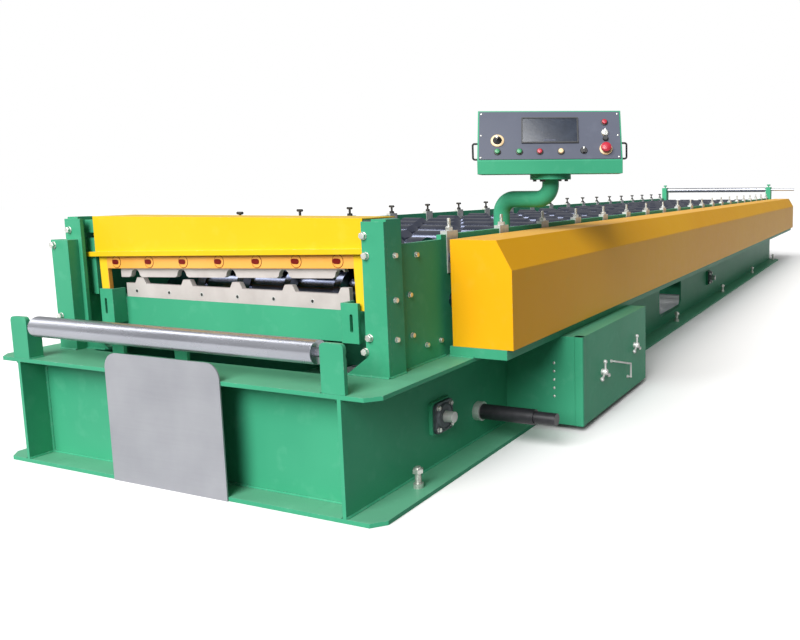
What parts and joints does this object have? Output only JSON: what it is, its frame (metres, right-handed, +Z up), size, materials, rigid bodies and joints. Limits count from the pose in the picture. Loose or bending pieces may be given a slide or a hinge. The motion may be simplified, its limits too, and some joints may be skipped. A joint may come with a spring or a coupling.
{
  "type": "roll forming machine",
  "caption": "Long roof sheet roll forming machine: welded base, roll shafts between stand walls, side covers, guillotine cutter with guard, delivery roller and swivelling control panel.",
  "frame": {"origin": "on the floor, on the machine's centre line, below the front edge of the base at the cutter end", "axes": "+X across the machine to the operator's side with the panel, +Y along the machine from the cutter to the entry end, +Z up"},
  "size_m": [2.2234, 8.762, 1.32],
  "materials": {
    "green_paint": "satin",
    "yellow_paint": "satin",
    "grey_paint": "matt",
    "bare_steel": "rolled",
    "machined_steel": "machined",
    "blade_steel": "ground",
    "polished_steel": "hard chromed",
    "zinc_steel": "zinc plated",
    "dark_iron": "as cast",
    "black_rubber": "matt",
    "black_plastic": "matt",
    "button_plastic": "gloss",
    "red_plastic": "gloss",
    "screen_glass": "gloss"
  },
  "bodies": {
    "machine": {"side_beams": "green_paint", "cross_beams": "green_paint", "cross_members": "green_paint", "front_plate": "bare_steel", "roller_brackets": "green_paint", "stand_walls": "green_paint", "bearing_blocks": "machined_steel", "adjusting_screws": "zinc_steel", "lower_shafts": "polished_steel", "rib_rings": "polished_steel", "cutter_columns": "green_paint", "column_strips": "green_paint", "cutter_crosshead": "green_paint", "ram_cylinders": "machined_steel", "cutter_guard": "yellow_paint", "lower_blade": "blade_steel", "blade_beam": "green_paint", "cover_shelves": "green_paint", "side_covers": "yellow_paint", "side_cabinet": "green_paint", "cabinet_handles": "machined_steel", "side_cylinder": "black_rubber", "cylinder_collar": "machined_steel", "flange_bearings": "dark_iron", "anchor_bolts": "zinc_steel", "panel_arm": "green_paint", "entry_posts": "green_paint"},
    "control_panel": {"panel_box": "green_paint", "panel_face": "grey_paint", "panel_screen": "screen_glass", "panel_buttons": "button_plastic", "panel_joystick": "black_plastic", "emergency_stop": "red_plastic", "panel_handles": "black_plastic"},
    "cutter_ram": {"ram_frame": "yellow_paint", "upper_blade": "blade_steel"},
    "delivery_roller": {"delivery_roller": "polished_steel"},
    "entry_roller": {"entry_roller": "polished_steel"},
    "drive_shaft_front": {"drive_shaft_front": "machined_steel"},
    "drive_shaft_rear": {"drive_shaft_rear": "machined_steel"},
    "upper_shaft_01": {"upper_shaft_01": "polished_steel"},
    "upper_shaft_02": {"upper_shaft_02": "polished_steel"},
    "upper_shaft_03": {"upper_shaft_03": "polished_steel"},
    "upper_shaft_04": {"upper_shaft_04": "polished_steel"},
    "upper_shaft_05": {"upper_shaft_05": "polished_steel"},
    "upper_shaft_06": {"upper_shaft_06": "polished_steel"},
    "upper_shaft_07": {"upper_shaft_07": "polished_steel"},
    "upper_shaft_08": {"upper_shaft_08": "polished_steel"},
    "upper_shaft_09": {"upper_shaft_09": "polished_steel"},
    "upper_shaft_10": {"upper_shaft_10": "polished_steel"},
    "upper_shaft_11": {"upper_shaft_11": "polished_steel"},
    "upper_shaft_12": {"upper_shaft_12": "polished_steel"},
    "upper_shaft_13": {"upper_shaft_13": "polished_steel"},
    "upper_shaft_14": {"upper_shaft_14": "polished_steel"},
    "upper_shaft_15": {"upper_shaft_15": "polished_steel"},
    "upper_shaft_16": {"upper_shaft_16": "polished_steel"},
    "upper_shaft_17": {"upper_shaft_17": "polished_steel"},
    "upper_shaft_18": {"upper_shaft_18": "polished_steel"},
    "upper_shaft_19": {"upper_shaft_19": "polished_steel"},
    "upper_shaft_20": {"upper_shaft_20": "polished_steel"}
  },
  "joints": [
    {"name": "panel_swivel", "type": "hinge", "parent": "machine", "child": "control_panel", "pos_m": [0.92, 1.125, 1.05], "axis": [0, 0, 1], "range_deg": [-115, 65]},
    {"name": "ram_slide", "type": "slide", "parent": "machine", "child": "cutter_ram", "axis": [0, 0, -1], "range_m": [0, 0.05]},
    {"name": "delivery_roller_spin", "type": "hinge", "parent": "machine", "child": "delivery_roller", "pos_m": [0, 0.026, 0.519], "axis": [1, 0, 0], "continuous": true},
    {"name": "entry_roller_spin", "type": "hinge", "parent": "machine", "child": "entry_roller", "pos_m": [0, 8.49, 0.95], "axis": [1, 0, 0], "continuous": true},
    {"name": "upper_shaft_01_spin", "type": "hinge", "parent": "machine", "child": "upper_shaft_01", "pos_m": [0, 0.63, 0.755], "axis": [1, 0, 0], "continuous": true},
    {"name": "upper_shaft_02_spin", "type": "hinge", "parent": "machine", "child": "upper_shaft_02", "pos_m": [0, 1.03, 0.755], "axis": [1, 0, 0], "continuous": true},
    {"name": "upper_shaft_03_spin", "type": "hinge", "parent": "machine", "child": "upper_shaft_03", "pos_m": [0, 1.43, 0.755], "axis": [1, 0, 0], "continuous": true},
    {"name": "upper_shaft_04_spin", "type": "hinge", "parent": "machine", "child": "upper_shaft_04", "pos_m": [0, 1.83, 0.755], "axis": [1, 0, 0], "continuous": true},
    {"name": "upper_shaft_05_spin", "type": "hinge", "parent": "machine", "child": "upper_shaft_05", "pos_m": [0, 2.23, 0.755], "axis": [1, 0, 0], "continuous": true},
    {"name": "upper_shaft_06_spin", "type": "hinge", "parent": "machine", "child": "upper_shaft_06", "pos_m": [0, 2.63, 0.755], "axis": [1, 0, 0], "continuous": true},
    {"name": "upper_shaft_07_spin", "type": "hinge", "parent": "machine", "child": "upper_shaft_07", "pos_m": [0, 3.03, 0.755], "axis": [1, 0, 0], "continuous": true},
    {"name": "upper_shaft_08_spin", "type": "hinge", "parent": "machine", "child": "upper_shaft_08", "pos_m": [0, 3.43, 0.755], "axis": [1, 0, 0], "continuous": true},
    {"name": "upper_shaft_09_spin", "type": "hinge", "parent": "machine", "child": "upper_shaft_09", "pos_m": [0, 3.83, 0.755], "axis": [1, 0, 0], "continuous": true},
    {"name": "upper_shaft_10_spin", "type": "hinge", "parent": "machine", "child": "upper_shaft_10", "pos_m": [0, 4.23, 0.755], "axis": [1, 0, 0], "continuous": true},
    {"name": "upper_shaft_11_spin", "type": "hinge", "parent": "machine", "child": "upper_shaft_11", "pos_m": [0, 4.63, 0.755], "axis": [1, 0, 0], "continuous": true},
    {"name": "upper_shaft_12_spin", "type": "hinge", "parent": "machine", "child": "upper_shaft_12", "pos_m": [0, 5.03, 0.755], "axis": [1, 0, 0], "continuous": true},
    {"name": "upper_shaft_13_spin", "type": "hinge", "parent": "machine", "child": "upper_shaft_13", "pos_m": [0, 5.43, 0.755], "axis": [1, 0, 0], "continuous": true},
    {"name": "upper_shaft_14_spin", "type": "hinge", "parent": "machine", "child": "upper_shaft_14", "pos_m": [0, 5.83, 0.755], "axis": [1, 0, 0], "continuous": true},
    {"name": "upper_shaft_15_spin", "type": "hinge", "parent": "machine", "child": "upper_shaft_15", "pos_m": [0, 6.23, 0.755], "axis": [1, 0, 0], "continuous": true},
    {"name": "upper_shaft_16_spin", "type": "hinge", "parent": "machine", "child": "upper_shaft_16", "pos_m": [0, 6.63, 0.755], "axis": [1, 0, 0], "continuous": true},
    {"name": "upper_shaft_17_spin", "type": "hinge", "parent": "machine", "child": "upper_shaft_17", "pos_m": [0, 7.03, 0.755], "axis": [1, 0, 0], "continuous": true},
    {"name": "upper_shaft_18_spin", "type": "hinge", "parent": "machine", "child": "upper_shaft_18", "pos_m": [0, 7.43, 0.755], "axis": [1, 0, 0], "continuous": true},
    {"name": "upper_shaft_19_spin", "type": "hinge", "parent": "machine", "child": "upper_shaft_19", "pos_m": [0, 7.83, 0.755], "axis": [1, 0, 0], "continuous": true},
    {"name": "upper_shaft_20_spin", "type": "hinge", "parent": "machine", "child": "upper_shaft_20", "pos_m": [0, 8.23, 0.755], "axis": [1, 0, 0], "continuous": true},
    {"name": "drive_shaft_front_spin", "type": "hinge", "parent": "machine", "child": "drive_shaft_front", "pos_m": [0, 0.51, 0.19], "axis": [1, 0, 0], "continuous": true},
    {"name": "drive_shaft_rear_spin", "type": "hinge", "parent": "machine", "child": "drive_shaft_rear", "pos_m": [0, 4.85, 0.19], "axis": [1, 0, 0], "continuous": true}
  ],
  "couplings": [
    {"joint": "upper_shaft_02_spin", "follows": "upper_shaft_01_spin", "ratio": 1},
    {"joint": "upper_shaft_03_spin", "follows": "upper_shaft_01_spin", "ratio": 1},
    {"joint": "upper_shaft_04_spin", "follows": "upper_shaft_01_spin", "ratio": 1},
    {"joint": "upper_shaft_05_spin", "follows": "upper_shaft_01_spin", "ratio": 1},
    {"joint": "upper_shaft_06_spin", "follows": "upper_shaft_01_spin", "ratio": 1},
    {"joint": "upper_shaft_07_spin", "follows": "upper_shaft_01_spin", "ratio": 1},
    {"joint": "upper_shaft_08_spin", "follows": "upper_shaft_01_spin", "ratio": 1},
    {"joint": "upper_shaft_09_spin", "follows": "upper_shaft_01_spin", "ratio": 1},
    {"joint": "upper_shaft_10_spin", "follows": "upper_shaft_01_spin", "ratio": 1},
    {"joint": "upper_shaft_11_spin", "follows": "upper_shaft_01_spin", "ratio": 1},
    {"joint": "upper_shaft_12_spin", "follows": "upper_shaft_01_spin", "ratio": 1},
    {"joint": "upper_shaft_13_spin", "follows": "upper_shaft_01_spin", "ratio": 1},
    {"joint": "upper_shaft_14_spin", "follows": "upper_shaft_01_spin", "ratio": 1},
    {"joint": "upper_shaft_15_spin", "follows": "upper_shaft_01_spin", "ratio": 1},
    {"joint": "upper_shaft_16_spin", "follows": "upper_shaft_01_spin", "ratio": 1},
    {"joint": "upper_shaft_17_spin", "follows": "upper_shaft_01_spin", "ratio": 1},
    {"joint": "upper_shaft_18_spin", "follows": "upper_shaft_01_spin", "ratio": 1},
    {"joint": "upper_shaft_19_spin", "follows": "upper_shaft_01_spin", "ratio": 1},
    {"joint": "upper_shaft_20_spin", "follows": "upper_shaft_01_spin", "ratio": 1},
    {"joint": "drive_shaft_front_spin", "follows": "upper_shaft_01_spin", "ratio": 1},
    {"joint": "drive_shaft_rear_spin", "follows": "upper_shaft_01_spin", "ratio": 1}
  ]
}
